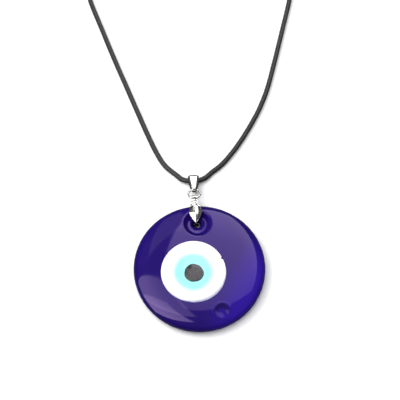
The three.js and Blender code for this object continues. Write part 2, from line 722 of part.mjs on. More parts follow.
// The last link carries a small flat drop
function dropBody() {
  const shape = new THREE.Shape(teardrop(1.9, 1.05, 4.4));
  shape.holes.push(new THREE.Path(arc(4.4, 0, 0.62, 0.62, 0, 337.5, 15)));
  const options = { depth: 0.5, bevelSize: 0.2, bevelThickness: 0.2, bevelSegments: 1 };
  const geometry = new THREE.ExtrudeGeometry(shape, { ...options, bevelOffset: -0.2, steps: 1 });
  return geometry.translate(0, 0, -0.25).rotateZ(Math.PI).translate(4.4, 0, 0);
}
silverPiece(groupIn(joint, (wireToWire - LINK_PLAY) / 2, 0, 0), "chain_drop", dropBody());

// ---------- Origin ----------

// On the table, under the middle of the pendant's outline
necklace.updateMatrixWorld(true);
const pendantBox = new THREE.Box3().setFromObject(pendant, true);
const underPendant = pendantBox.getCenter(new THREE.Vector3());
necklace.position.set(-underPendant.x, -underPendant.y, -pendantBox.min.z);

export default necklace;
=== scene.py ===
"""Glass evil eye pendant on a waxed cord, laid on a pale table.

Metres, +Z up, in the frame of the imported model. The pieces are made in the order in which the
necklace is put together: camera, cord, glass disc, eye, clip, jump ring, bail, end fittings, table.
"""

import json
import math

import bpy
from mathutils import Matrix, Vector, noise


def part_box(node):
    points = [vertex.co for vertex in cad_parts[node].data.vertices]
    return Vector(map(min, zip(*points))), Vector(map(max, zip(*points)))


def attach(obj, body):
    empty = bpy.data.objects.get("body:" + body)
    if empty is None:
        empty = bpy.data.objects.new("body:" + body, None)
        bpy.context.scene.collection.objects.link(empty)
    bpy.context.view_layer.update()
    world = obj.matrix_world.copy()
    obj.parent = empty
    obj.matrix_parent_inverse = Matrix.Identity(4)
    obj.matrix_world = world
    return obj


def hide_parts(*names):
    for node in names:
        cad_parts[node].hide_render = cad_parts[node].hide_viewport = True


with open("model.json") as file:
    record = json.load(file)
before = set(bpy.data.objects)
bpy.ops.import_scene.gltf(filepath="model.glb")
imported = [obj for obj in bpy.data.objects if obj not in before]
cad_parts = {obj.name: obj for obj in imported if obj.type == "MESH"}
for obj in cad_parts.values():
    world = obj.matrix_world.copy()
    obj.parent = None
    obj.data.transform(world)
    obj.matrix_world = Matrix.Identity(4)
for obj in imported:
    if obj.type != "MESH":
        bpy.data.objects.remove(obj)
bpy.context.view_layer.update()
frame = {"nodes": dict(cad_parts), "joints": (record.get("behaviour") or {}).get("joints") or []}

# ---------- Camera ----------
# A long lens looks down on the pendant from just below it, 66 degrees above the table.
# It is placed from the middle of the glass disc.

disc_low, disc_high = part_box("glass_disc")
disc_middle = (disc_low + disc_high) / 2
CAMERA_STEP = Vector((0.00019, -0.11366, 0.0))
CAMERA_HEIGHT = 0.32157
CAMERA_TILT = math.radians(24)
CAMERA_LENS = 79.9

camera = bpy.data.objects.new("camera", bpy.data.cameras.new("camera"))
bpy.context.scene.collection.objects.link(camera)
camera.data.lens = CAMERA_LENS
camera.data.sensor_width = 36
camera.data.clip_start = 0.01
camera.data.clip_end = 10
camera.location = Vector((disc_middle.x, disc_middle.y, 0)) + CAMERA_STEP
camera.location.z = CAMERA_HEIGHT
camera.rotation_euler = (CAMERA_TILT, 0, 0)
bpy.context.scene.camera = camera

# ---------- Waxed cord ----------
# Eight waxed cotton yarns plaited round a core into a limp cord, 2 mm thick and 480 mm long.
# It runs through the bail, turns back on itself and is put away in one doubled turn.

UP = Vector((0, 0, 1))
CORD_RADIUS = 0.001
CORD_SIDES = 24
CORD_STEP = 0.0004
FINE_STEPS = 12
YARNS_EACH_WAY = 4
PLAIT_PITCH = 0.0075
PLAIT_RELIEF = 0.000045

joints = {joint["name"]: joint for joint in frame["joints"]}
cord_hole = Vector(joints["bail_swing"]["pos_m"])

# The route from the chain's end to the clasp's end, with the doubled turn left out of it twice.
# X and Y are taken from the middle of the bail's hole, Z from the table.
CHAIN_TAIL = [
    (0.01090, 0.11660, 0.00160), (0.01050, 0.11440, 0.00160), (0.01010, 0.11220, 0.00160),
    (0.00910, 0.10920, 0.00175), (0.00720, 0.10620, 0.00250), (0.00430, 0.10420, 0.00320),
    (0.00100, 0.10368, 0.00332), (-0.00200, 0.10368, 0.00332),
]
INTO_ROUTE = [(-0.00264, 0.10675, 0.00102), (-0.00370, 0.10275, 0.00102)]
ROUTE = [
    (-0.00660, 0.09985, 0.00102), (-0.01060, 0.09875, 0.00102), (-0.01460, 0.09875, 0.00102),
    (-0.02160, 0.09875, 0.00102), (-0.03060, 0.09875, 0.00102), (-0.03820, 0.09870, 0.00102),
    (-0.04220, 0.09760, 0.00102), (-0.04520, 0.09470, 0.00102), (-0.04630, 0.09080, 0.00102),
    (-0.04570, 0.08785, 0.00102), (-0.03970, 0.07215, 0.00102), (-0.03370, 0.05685, 0.00102),
    (-0.02760, 0.04205, 0.00102), (-0.02170, 0.02775, 0.00102), (-0.01820, 0.01945, 0.00102),
    (-0.01570, 0.01395, 0.00102), (-0.01270, 0.00845, 0.00102), (-0.01080, 0.00605, 0.00102),
    (-0.00900, 0.00445, 0.00102), (-0.00700, 0.00275, 0.00110), (-0.00490, 0.00080, 0.00140),
    (-0.00260, -0.00012, 0.00170), (0.00000, 0.00000, 0.00175), (0.00250, 0.00016, 0.00170),
    (0.00460, 0.00125, 0.00140), (0.00610, 0.00265, 0.00110), (0.00760, 0.00415, 0.00102),
    (0.00960, 0.00575, 0.00102), (0.01230, 0.00845, 0.00102), (0.01650, 0.01395, 0.00102),
    (0.02000, 0.01945, 0.00102), (0.02460, 0.02775, 0.00102), (0.02730, 0.03345, 0.00102),
    (0.03050, 0.04205, 0.00102), (0.03440, 0.05685, 0.00102), (0.03810, 0.07215, 0.00102),
    (0.04180, 0.08785, 0.00102), (0.04200, 0.08975, 0.00102), (0.04090, 0.09375, 0.00102),
    (0.03800, 0.09665, 0.00102), (0.03400, 0.09775, 0.00102), (0.02640, 0.09775, 0.00102),
    (0.01840, 0.09775, 0.00102), (0.01240, 0.09775, 0.00102), (0.00740, 0.09775, 0.00102),
    (0.00340, 0.09885, 0.00102), (0.00050, 0.10175, 0.00102),
]
OUT_OF_ROUTE = [(-0.00058, 0.10575, 0.00102)]
CLASP_TAIL = [
    (-0.00460, 0.10162, 0.00332), (-0.00100, 0.10162, 0.00332), (0.00260, 0.10165, 0.00328),
    (0.00600, 0.10180, 0.00250), (0.00880, 0.10250, 0.00175), (0.01140, 0.10410, 0.00160),
    (0.01310, 0.10550, 0.00160), (0.01480, 0.10690, 0.00160),
]
TURN_INNER = 0.00897
TURN_OUTER = 0.01103
TURN_LOW = 0.00102
TURN_HIGH = 0.00332
TURN_CLIMB_FROM = 190
TURN_CLIMB_OVER = 100
TURN_SWEEP = 270
TURN_STEP = 18

coil_low, coil_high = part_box("cord_coil")
coil_middle = (coil_low + coil_high) / 2
coil_x = coil_middle.x - cord_hole.x
coil_y = coil_middle.y - cord_hole.y


def smoothstep(share):
    share = min(1.0, max(0.0, share))
    return share * share * (3 - 2 * share)


def turn_points(radius):
    """Three quarters of a turn, climbing at its end over the two strands that come in"""
    points = []
    for angle in range(0, TURN_SWEEP + 1, TURN_STEP):
        climb = smoothstep((angle - TURN_CLIMB_FROM) / TURN_CLIMB_OVER)
        height = TURN_LOW + (TURN_HIGH - TURN_LOW) * climb
        turn = math.radians(angle)
        points.append((coil_x + radius * math.cos(turn), coil_y + radius * math.sin(turn), height))
    return points


def smooth_line(points, spacing):
    """Evenly spaced points on a centripetal Catmull-Rom line"""
    points = [Vector(point) for point in points]
    ends = [points[0] * 2 - points[1], *points, points[-1] * 2 - points[-2]]
    fine = [points[0]]
    for a, b, c, d in zip(ends, ends[1:], ends[2:], ends[3:]):
        t1 = max(1e-9, math.sqrt((b - a).length))
        t2 = t1 + max(1e-9, math.sqrt((c - b).length))
        t3 = t2 + max(1e-9, math.sqrt((d - c).length))
        for step in range(1, FINE_STEPS + 1):
            t = t1 + (t2 - t1) * step / FINE_STEPS
            ab = a * ((t1 - t) / t1) + b * (t / t1)
            bc = b * ((t2 - t) / (t2 - t1)) + c * ((t - t1) / (t2 - t1))
            cd = c * ((t3 - t) / (t3 - t2)) + d * ((t - t2) / (t3 - t2))
            abc = ab * ((t2 - t) / t2) + bc * (t / t2)
            bcd = bc * ((t3 - t) / (t3 - t1)) + cd * ((t - t1) / (t3 - t1))
            fine.append(abc * ((t2 - t) / (t2 - t1)) + bcd * ((t - t1) / (t2 - t1)))
    total = sum((b - a).length for a, b in zip(fine, fine[1:]))
    count = max(2, round(total / spacing))
    even = [fine[0]]
    along = 0.0
    target = total / count
    for a, b in zip(fine, fine[1:]):
        length = (b - a).length
        while along + length >= target and len(even) < count:
            even.append(a.lerp(b, (target - along) / length))
            target += total / count
        along += length
    even.append(fine[-1])
    return even


def around(path, radius_at, sides, reference=UP, closed=False):
    """Rings of points round a path; radius_at takes the distance along it and the angle"""
    rings = []
    along = 0.0
    for i, place in enumerate(path):
        before = path[i - 1] if i or closed else place
        after = path[(i + 1) % len(path)] if i + 1 < len(path) or closed else place
        side = (after - before).cross(reference).normalized()
        up = side.cross(after - before).normalized()
        ring = []
        for j in range(sides):
            angle = math.tau * j / sides
            reach = radius_at(along, angle)
            ring.append(place + side * (math.cos(angle) * reach) + up * (math.sin(angle) * reach))
        rings.append(ring)
        along += (after - place).length
    return rings


def skin(name, rings, closed=False):
    """A closed mesh over like rings of points, capped at its ends unless it closes on itself"""
    sides = len(rings[0])
    points = [point for ring in rings for point in ring]
    faces, uvs = [], []
    spans = len(rings) if closed else len(rings) - 1
    for i in range(spans):
        low, high = i * sides, (i + 1) % len(rings) * sides
        for j in range(sides):
            k = (j + 1) % sides
            faces.append((low + j, low + k, high + k, high + j))
            uvs += [(j / sides, i), ((j + 1) / sides, i), ((j + 1) / sides, i + 1), (j / sides, i + 1)]
    if not closed:
        for ring, first in ((rings[0], 0), (rings[-1], (len(rings) - 1) * sides)):
            points.append(sum(ring, Vector()) / sides)
            hub = len(points) - 1
            for j in range(sides):
                a, b = first + j, first + (j + 1) % sides
                faces.append((hub, b, a) if first == 0 else (hub, a, b))
                uvs += [(0.5, 0.0)] * 3
    mesh = bpy.data.meshes.new(name)
    mesh.from_pydata([tuple(point) for point in points], [], faces)
    layer = mesh.uv_layers.new(name="along")
    layer.data.foreach_set("uv", [value for uv in uvs for value in uv])
    mesh.shade_smooth()
    piece = bpy.data.objects.new(name, mesh)
    bpy.context.scene.collection.objects.link(piece)
    return piece


def outward(piece):
    """Faces the mesh outwards, whichever way its rings ran"""
    mesh = piece.data
    volume = 0.0
    for face in mesh.polygons:
        corners = [mesh.vertices[i].co for i in face.vertices]
        for b, c in zip(corners[1:], corners[2:]):
            volume += corners[0].dot(b.cross(c))
    if volume < 0:
        mesh.flip_normals()
    return piece


def plait(along, angle):
    """Two sets of yarns winding opposite ways, each passing over the other in turn"""
    turn = math.tau * along / PLAIT_PITCH
    left = math.cos(YARNS_EACH_WAY * (angle + turn))
    right = math.cos(YARNS_EACH_WAY * (angle - turn))
    return CORD_RADIUS - PLAIT_RELIEF * (1 - max(left, right))


cord_points = [
    *CHAIN_TAIL,
    *reversed(turn_points(TURN_INNER)),
    *INTO_ROUTE,
    *ROUTE,
    *OUT_OF_ROUTE,
    *turn_points(TURN_OUTER),
    *CLASP_TAIL,
]
on_table = Vector((cord_hole.x, cord_hole.y, 0))
cord_line = [on_table + point for point in smooth_line(cord_points, CORD_STEP)]
cord = outward(skin("waxed_cord", around(cord_line, plait, CORD_SIDES)))


def finish_of(name):
    """An empty material: its node tree and its Principled shader"""
    material = bpy.data.materials.new(name)
    material.use_nodes = True
    return material, material.node_tree, material.node_tree.nodes["Principled BSDF"]


def node(tree, kind, inputs=None, **settings):
    """One node, with its settings and with numbers or links for its inputs"""
    made = tree.nodes.new(kind)
    for key, value in settings.items():
        setattr(made, key, value)
    for key, value in (inputs or {}).items():
        if isinstance(value, bpy.types.NodeSocket):
            tree.links.new(value, made.inputs[key])
        else:
            made.inputs[key].default_value = value
    return made


def ramp(tree, value, stops):
    """A colour ramp fed by value; stops are (place, colour) pairs"""
    made = node(tree, "ShaderNodeValToRGB", {"Fac": value})
    elements = made.color_ramp.elements
    while len(elements) < len(stops):
        elements.new(0.5)
    for element, (place, colour) in zip(elements, stops):
        element.position = place
        element.color = (*colour, 1)
    return made.outputs["Color"]


BLACK_WAX_SHADE = (0.008, 0.008, 0.009)
GREY_WAX_SHEEN = (0.04, 0.04, 0.04)

# The wax is painted grey on the yarns' backs, streaked along the fibres as painted sheen, and black between
# them as painted shade
cord_finish, tree, shader = finish_of("waxed_cord")
along_cord = node(tree, "ShaderNodeUVMap", uv_map="along").outputs["UV"]
stretch = node(tree, "ShaderNodeMapping", {"Vector": along_cord, "Scale": (30.0, 0.16, 1.0)})
fibres = node(tree, "ShaderNodeTexNoise", {"Vector": stretch.outputs["Vector"], "Scale": 1.6, "Detail": 4.0})
place = node(tree, "ShaderNodeTexCoord").outputs["Object"]
patches = node(tree, "ShaderNodeTexNoise", {"Vector": place, "Scale": 700.0, "Detail": 3.0})
backs = node(tree, "ShaderNodeNewGeometry").outputs["Pointiness"]
backs = node(tree, "ShaderNodeMapRange", {"Value": backs, "From Min": 0.46, "From Max": 0.56})
shine = node(
    tree, "ShaderNodeMath", {0: backs.outputs["Result"], 1: fibres.outputs["Fac"]}, operation="MULTIPLY"
)
wax = ramp(tree, shine.outputs[0], [(0.12, BLACK_WAX_SHADE), (0.62, GREY_WAX_SHEEN)])
tree.links.new(wax, shader.inputs["Base Color"])
rough = node(tree, "ShaderNodeMapRange", {"Value": patches.outputs["Fac"], "To Min": 0.34, "To Max": 0.62})
tree.links.new(rough.outputs["Result"], shader.inputs["Roughness"])
bump = node(tree, "ShaderNodeBump", {"Height": fibres.outputs["Fac"], "Distance": 0.00006, "Strength": 0.8})
tree.links.new(bump.outputs["Normal"], shader.inputs["Normal"])
shader.inputs["Specular IOR Level"].default_value = 0.3
shader.inputs["Coat Weight"].default_value = 0.08
shader.inputs["Coat Roughness"].default_value = 0.3
cord.data.materials.append(cord_finish)

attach(cord, "cord")
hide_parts("cord", "cord_coil", "cord_tail_left", "cord_tail_right")

# ---------- Glass disc ----------
# Deep cobalt glass, 50 mm across and 7 mm thick, poured by hand on a flat iron plate and fire
# polished. A poker opened the hanging hole, and a bubble burst near the lower right edge.

MM = 0.001
RIM = 25 * MM
GIRDLE_Z = 2.8 * MM
FRONT_RISE = 3.75 * MM
CROWN = 0.35 * MM
FRONT_POWER = 6
BACK_FLAT = 22.6 * MM
HOLE = Vector((-0.8 * MM, 16.8 * MM))
HOLE_EDGE = 6.0 * MM
SHOULDER = 23.6 * MM
HOLE_PROFILE = [  # radius and depth below the front face, in millimetres
    (5.6, 0.05), (5.35, 0.16), (5.1, 0.4), (4.75, 0.85), (4.3, 1.35), (3.85, 1.7), (3.5, 1.86),
    (3.2, 1.84), (2.95, 1.86), (2.6, 1.98), (2.2, 2.2), (1.8, 2.6), (1.5, 3.2), (1.32, 4.0),
]
THROAT = Vector((-1.1 * MM, 17.3 * MM))
THROAT_FLARE = 2.1 * MM
THROAT_PROFILE = [(1.8, 0.12), (1.45, 0.35), (1.3, 0.8), (1.28, 1.7)]  # radius and height, in millimetres
BUBBLE = Vector((8.4 * MM, -17.9 * MM))
BUBBLE_RADIUS = 2.7 * MM
BUBBLE_DEPTH = 0.34 * MM
BUBBLE_POWER = 1.3
BUBBLE_LIP = 0.07 * MM
BUBBLE_LIP_AT = 1.12
BUBBLE_LIP_SPREAD = 0.16
DISC_SIDES = 288
FRONT_RINGS = 150
SHOULDER_RINGS = 12
BACK_EDGE_RINGS = 10
BACK_RINGS = 9
UNEVEN = 0.05 * MM
UNEVEN_EVERY = 14 * MM

disc_turn = joints["disc_turn"]
disc_up = Vector(disc_turn["axis"]).normalized()
disc_right = Vector((1, 0, 0))
disc_along = disc_up.cross(disc_right)
PRONG_IN_DISC = Vector((-1.35 * MM, 17.3 * MM, 3 * MM))
disc_turned = Matrix((disc_right, disc_along, disc_up)).transposed()
disc_origin = Vector(disc_turn["pos_m"]) - disc_turned @ PRONG_IN_DISC


def in_disc(x, y, z):
    """A point of the disc's own frame, flat back on z = 0, in the model's frame"""
    return disc_origin + disc_turned @ Vector((x, y, z))


def glass_front(x, y):
    """The plain front face, with the unevenness of a hand-poured disc"""
    reach = min(1.0, math.hypot(x, y) / RIM)
    rise = FRONT_RISE * math.sqrt(1 - reach**FRONT_POWER) + CROWN * (1 - reach**2)
    uneven = noise.noise(Vector((x, y, 0.004)) / UNEVEN_EVERY) * (1 - reach**4)
    return GIRDLE_Z + rise + UNEVEN * uneven


# The eye's three pours sit in the glass and in each other. Each has a middle, a radius and the
# waves of its uneven edge: how many go round, their share of the radius, and where they start.
WHITE = {
    "x": -2.2 * MM,
    "y": -2.85 * MM,
    "radius": 12.1 * MM,
    "waves": [(2, 0.010, 0.6), (3, 0.007, 2.0)],
}
TURQUOISE = {
    "x": -2.3 * MM,
    "y": -3.3 * MM,
    "radius": 8.6 * MM,
    "waves": [(2, 0.01, 2.4), (3, 0.008, 1.0)],
}
PUPIL = {
    "x": -2.05 * MM,
    "y": -3.75 * MM,
    "radius": 3.6 * MM,
    "waves": [(2, 0.02, 0.4), (3, 0.022, 1.1), (7, 0.01, 0.2)],
}
WHITE_NOTCH = math.radians(26)
WHITE_NOTCH_DEEP = 0.6 * MM
WHITE_NOTCH_SPREAD = 0.03
WHITE_RISE = 0.9 * MM
POUR_DEEP = 1.3 * MM
POUR_SINK = 0.35 * MM
SOCKET_EDGE = 0.35 * MM
SOCKET_SLOPE = 1.6 * MM


def pour_edge(pour, angle):
    """How far a pour reaches from its middle in one direction"""
    reach = pour["radius"]
    for count, share, start in pour["waves"]:
        reach += pour["radius"] * share * math.cos(count * angle + start)
    if pour is WHITE:
        off = math.remainder(angle - WHITE_NOTCH, math.tau)
        reach -= WHITE_NOTCH_DEEP * math.exp(-((off / WHITE_NOTCH_SPREAD) ** 2))
    return reach


def inside(pour, x, y):
    """Share of the way out from a pour's middle to its edge, and the distance left to the edge"""
    dx, dy = x - pour["x"], y - pour["y"]
    edge = pour_edge(pour, math.atan2(dy, dx))
    reach = math.hypot(dx, dy)
    return reach / edge, edge - reach


def socket(pour, x, y, deep):
    """Depth of the hollow that a pour sank into the glass under it"""
    left = inside(pour, x, y)[1]
    return deep * smoothstep((left - SOCKET_EDGE) / SOCKET_SLOPE) if left > 0 else 0.0


def disc_front(x, y):
    """The front face with the burst bubble and the eye's socket sunk into it"""
    off = math.hypot(x - BUBBLE.x, y - BUBBLE.y) / BUBBLE_RADIUS
    bowl = BUBBLE_DEPTH * (1 - off**2) ** BUBBLE_POWER if off < 1 else 0.0
    lip = BUBBLE_LIP * math.exp(-(((off - BUBBLE_LIP_AT) / BUBBLE_LIP_SPREAD) ** 2))
    return glass_front(x, y) - bowl + lip - socket(WHITE, x, y, POUR_DEEP)


def ring_about(x, y, radius, height_at):
    """A round ring of points about x, y; height_at takes a point and gives its height"""
    ring = []
    for j in range(DISC_SIDES):
        angle = math.tau * j / DISC_SIDES
        px = x + radius * math.cos(angle)
        py = y + radius * math.sin(angle)
        ring.append(in_disc(px, py, height_at(px, py)))
    return ring


def level(height):
    """The height_at of a flat ring"""
    return lambda x, y: height


def below_front(deep):
    """The height_at of a ring that lies deep under the front face"""
    return lambda x, y: glass_front(x, y) - deep


def disc_rings():
    """From the throat's back edge, up through the hole, over the front and round to the back"""
    rings = [ring_about(THROAT.x, THROAT.y, THROAT_FLARE, level(0.0))]
    for radius, height in THROAT_PROFILE:
        rings.append(ring_about(THROAT.x, THROAT.y, radius * MM, level(height * MM)))
    for radius, deep in reversed(HOLE_PROFILE):
        centre = THROAT.lerp(HOLE, smoothstep((radius - 1.2) / 2))
        rings.append(ring_about(centre.x, centre.y, radius * MM, below_front(deep * MM)))
    for step in range(FRONT_RINGS + 1):
        share = step / FRONT_RINGS
        radius = HOLE_EDGE + (SHOULDER - HOLE_EDGE) * share
        rings.append(ring_about(HOLE.x * (1 - share), HOLE.y * (1 - share), radius, disc_front))
    start = math.asin(SHOULDER / RIM)
    for step in range(1, SHOULDER_RINGS + 1):
        radius = RIM * math.sin(start + (math.pi / 2 - start) * step / SHOULDER_RINGS)
        rings.append(ring_about(0, 0, radius, glass_front))
    for step in range(1, BACK_EDGE_RINGS + 1):
        angle = math.pi / 2 * step / BACK_EDGE_RINGS
        radius = BACK_FLAT + (RIM - BACK_FLAT) * math.cos(angle)
        rings.append(ring_about(0, 0, radius, level(GIRDLE_Z * (1 - math.sin(angle)))))
    for step in range(1, BACK_RINGS):
        share = step / BACK_RINGS
        radius = BACK_FLAT + (THROAT_FLARE - BACK_FLAT) * share
        rings.append(ring_about(THROAT.x * share, THROAT.y * share, radius, level(0.0)))
    return rings


disc = outward(skin("glass_body", disc_rings(), closed=True))
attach(disc, "disc")
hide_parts("glass_disc")

# The disc's own place for colours: a plain copy of each point in the disc's frame, in metres
disc_home = bpy.data.objects.new("disc_home", None)
bpy.context.scene.collection.objects.link(disc_home)
disc_home.matrix_world = Matrix.Translation(disc_origin) @ disc_turned.to_4x4()
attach(disc_home, "disc")


def fire_polish():
    """Node group: the long shallow ripple and the finger marks of fire-polished glass"""
    group = bpy.data.node_groups.new("fire_polish", "ShaderNodeTree")
    group.interface.new_socket("Vector", in_out="INPUT", socket_type="NodeSocketVector")
    group.interface.new_socket("Clean", in_out="INPUT", socket_type="NodeSocketFloat")
    group.interface.new_socket("Marked", in_out="INPUT", socket_type="NodeSocketFloat")
    group.interface.new_socket("Roughness", in_out="OUTPUT", socket_type="NodeSocketFloat")
    group.interface.new_socket("Height", in_out="OUTPUT", socket_type="NodeSocketFloat")
    enter = group.nodes.new("NodeGroupInput")
    leave = group.nodes.new("NodeGroupOutput")
    place = enter.outputs["Vector"]
    marks = node(group, "ShaderNodeTexNoise", {"Vector": place, "Scale": 180.0, "Detail": 5.0})
    marks = marks.outputs["Fac"]
    patch = node(group, "ShaderNodeMapRange", {"Value": marks, "From Min": 0.5, "From Max": 0.75})
    group.links.new(enter.outputs["Clean"], patch.inputs["To Min"])
    group.links.new(enter.outputs["Marked"], patch.inputs["To Max"])
    group.links.new(patch.outputs["Result"], leave.inputs["Roughness"])
    ripple = node(group, "ShaderNodeTexNoise", {"Vector": place, "Scale": 95.0, "Detail": 1.0})
    group.links.new(ripple.outputs["Fac"], leave.inputs["Height"])
    return group


fire_polish_group = fire_polish()


def polished(tree, shader, clean, marked, ripple):
    """Places the fire polish in a glass material and returns the disc's own coordinates"""
    place = node(tree, "ShaderNodeTexCoord", object=disc_home).outputs["Object"]
    polish = node(tree, "ShaderNodeGroup", node_tree=fire_polish_group)
    tree.links.new(place, polish.inputs["Vector"])
    polish.inputs["Clean"].default_value = clean
    polish.inputs["Marked"].default_value = marked
    tree.links.new(polish.outputs["Roughness"], shader.inputs["Roughness"])
    height = polish.outputs["Height"]
    bump = node(tree, "ShaderNodeBump", {"Height": height, "Distance": ripple, "Strength": 1.0})
    tree.links.new(bump.outputs["Normal"], shader.inputs["Normal"])
    return place


def mix(tree, share, first, second):
    """Colour mix; first and second are colours or links"""
    made = node(tree, "ShaderNodeMix", data_type="RGBA")
    for socket_number, value in ((0, share), (6, first), (7, second)):
        if isinstance(value, bpy.types.NodeSocket):
            tree.links.new(value, made.inputs[socket_number])
        else:
            made.inputs[socket_number].default_value = value if socket_number == 0 else (*value, 1)
    return made.outputs[2]


def band(tree, value, start, end, low=0.0, high=1.0):
    """A value that goes smoothly from low to high between start and end"""
    made = node(tree, "ShaderNodeMapRange", interpolation_type="SMOOTHSTEP")
    tree.links.new(value, made.inputs["Value"])
    for key, number in (("From Min", start), ("From Max", end), ("To Min", low), ("To Max", high)):
        made.inputs[key].default_value = number
    return made.outputs["Result"]


def maths(tree, operation, first, second=None):
    """One sum; first and second are numbers or links"""
    made = node(tree, "ShaderNodeMath", operation=operation)
    for number, value in enumerate((first, second)):
        if isinstance(value, bpy.types.NodeSocket):
            tree.links.new(value, made.inputs[number])
        elif value is not None:
            made.inputs[number].default_value = value
    return made.outputs[0]


def reach_from(tree, place, x, y):
    """Distance from one point of the disc's face"""
    moved = node(tree, "ShaderNodeVectorMath", operation="SUBTRACT")
    tree.links.new(place, moved.inputs[0])
    moved.inputs[1].default_value = (x, y, 0)
    flat = node(tree, "ShaderNodeVectorMath", operation="MULTIPLY")
    tree.links.new(moved.outputs["Vector"], flat.inputs[0])
    flat.inputs[1].default_value = (1, 1, 0)
    length = node(tree, "ShaderNodeVectorMath", operation="LENGTH")
    tree.links.new(flat.outputs["Vector"], length.inputs[0])
    return length.outputs["Value"]


def tinted(tree, colour, mask, most, other):
    """Works another colour in under a mask, and at most by a share"""
    return mix(tree, maths(tree, "MULTIPLY", mask, most), colour, other)


DEEP_COBALT = (0.011, 0.003, 0.115)
LIT_COBALT = (0.024, 0.006, 0.29)
SEED_COBALT = (0.03, 0.02, 0.5)
COBALT_SHADE = (0.008, 0.003, 0.06)
LIT_LEAN = 0.5
LIT_FROM = 10 * MM
LIT_TO = 27 * MM
BUBBLE_SHADE_OFF = 0.6 * MM
SEED_SHARE = 0.07

glass_finish, tree, shader = finish_of("cobalt_glass")
place = polished(tree, shader, clean=0.06, marked=0.12, ripple=0.02 * MM)
# Painted light: the glass is painted a lighter blue towards its lower right, where light comes through it; a
# noise makes the painted light uneven and varies the tone
axes = node(tree, "ShaderNodeSeparateXYZ", {"Vector": place})
across = maths(tree, "SUBTRACT", axes.outputs["X"], maths(tree, "MULTIPLY", axes.outputs["Y"], LIT_LEAN))
lit = band(tree, across, LIT_FROM, LIT_TO)
swirl_and_uneven_light = node(tree, "ShaderNodeTexNoise", {"Vector": place, "Scale": 70.0, "Detail": 3.0, "Distortion": 1.2})
swirl_and_uneven_light = maths(tree, "SUBTRACT", swirl_and_uneven_light.outputs["Fac"], 0.5)
lit = maths(tree, "ADD", lit, maths(tree, "MULTIPLY", swirl_and_uneven_light, 0.35))
lit = maths(tree, "MAXIMUM", maths(tree, "MINIMUM", lit, 1.0), 0.0)
colour = mix(tree, lit, DEEP_COBALT, LIT_COBALT)
# Painted shade: the rim is painted darker
rim_shade = band(tree, reach_from(tree, place, 0, 0), 23.5 * MM, RIM)
colour = tinted(tree, colour, rim_shade, 0.6, COBALT_SHADE)
# Painted shade on the bubble's upper side, and a painted lit spot low in it
off = reach_from(tree, place, BUBBLE.x, BUBBLE.y + BUBBLE_SHADE_OFF)
colour = tinted(tree, colour, band(tree, off, 2.7 * MM, 2.1 * MM), 0.8, COBALT_SHADE)
off = reach_from(tree, place, BUBBLE.x, BUBBLE.y - BUBBLE_SHADE_OFF)
colour = tinted(tree, colour, band(tree, off, 2.2 * MM, 1.2 * MM), 0.6, LIT_COBALT)
# Painted shade: the hole's throat is painted dark
off = reach_from(tree, place, THROAT.x, THROAT.y)
colour = tinted(tree, colour, band(tree, off, 2.0 * MM, 1.3 * MM), 0.9, COBALT_SHADE)
seeds = node(tree, "ShaderNodeTexVoronoi", {"Vector": place, "Scale": 620.0})
seed = band(tree, seeds.outputs["Distance"], 0.09, 0.03)
chosen = node(tree, "ShaderNodeSeparateColor", {"Color": seeds.outputs["Color"]})
seed = maths(tree, "MULTIPLY", seed, maths(tree, "GREATER_THAN", chosen.outputs["Red"], 1 - SEED_SHARE))
colour = tinted(tree, colour, seed, 0.35, SEED_COBALT)
tree.links.new(colour, shader.inputs["Base Color"])
shader.inputs["IOR"].default_value = 1.52
shader.inputs["Specular Tint"].default_value = (0.72, 0.53, 0.97, 1)
disc.data.materials.append(glass_finish)

# ---------- The eye ----------
# Three drops of opaque glass, white, turquoise and near black, dripped hot on the disc one on
# another. Each sank in, spread unevenly and fused, and stands a little proud of what is under it.

BEAD_POWER = 2.4
BEAD_FULLNESS = 0.62
TURQUOISE_RISE = 0.06 * MM
PUPIL_RISE = 0.14 * MM
CRUST = 0.05 * MM
CRUST_EVERY = 1 / 900
FUSED = 0.012 * MM
WHITE_SUNK = 0.04 * MM
UNDER_WHITE = 0.02 * MM
UNDER_DROP = 0.01 * MM


def white_top(x, y):
    share = min(1.0, inside(WHITE, x, y)[0])
    bead = WHITE_RISE * (1 - share**BEAD_POWER) ** BEAD_FULLNESS
    return glass_front(x, y) + bead - WHITE_SUNK


def turquoise_top(x, y):
    share = min(1.0, inside(TURQUOISE, x, y)[0])
    return white_top(x, y) + TURQUOISE_RISE * (1 - share**4) - FUSED


def pupil_top(x, y):
    share = min(1.0, inside(PUPIL, x, y)[0])
    crust = CRUST * noise.noise(Vector((x, y, 0.002)) / CRUST_EVERY)
    return turquoise_top(x, y) + PUPIL_RISE * (1 - share**5) + crust * (1 - share**3) - FUSED


def pour_rings(pour, top_at, bottom_at, hollow, sides, count):
    """Over the top of a pour from its middle to its edge, and back under it"""
    rings = []
    shares = [math.sin(math.pi / 2 * (step + 0.15) / count) for step in range(count)]
    for share in [*shares, 1.0]:
        ring = []
        for j in range(sides):
            angle = math.tau * j / sides
            reach = pour_edge(pour, angle) * share
            x, y = pour["x"] + reach * math.cos(angle), pour["y"] + reach * math.sin(angle)
            under = socket(hollow, x, y, POUR_SINK) if hollow else 0.0
            ring.append(in_disc(x, y, top_at(x, y) - under))
        rings.append(ring)
    for share in reversed(shares[::3]):
        ring = []
        for j in range(sides):
            angle = math.tau * j / sides
            reach = pour_edge(pour, angle) * share
            x, y = pour["x"] + reach * math.cos(angle), pour["y"] + reach * math.sin(angle)
            ring.append(in_disc(x, y, bottom_at(x, y)))
        rings.append(ring)
    return rings


def white_bottom(x, y):
    return glass_front(x, y) - socket(WHITE, x, y, POUR_DEEP) + UNDER_WHITE


def turquoise_bottom(x, y):
    return white_top(x, y) - socket(TURQUOISE, x, y, POUR_SINK) + UNDER_DROP


def pupil_bottom(x, y):
    return turquoise_top(x, y) - socket(PUPIL, x, y, POUR_SINK) + UNDER_DROP


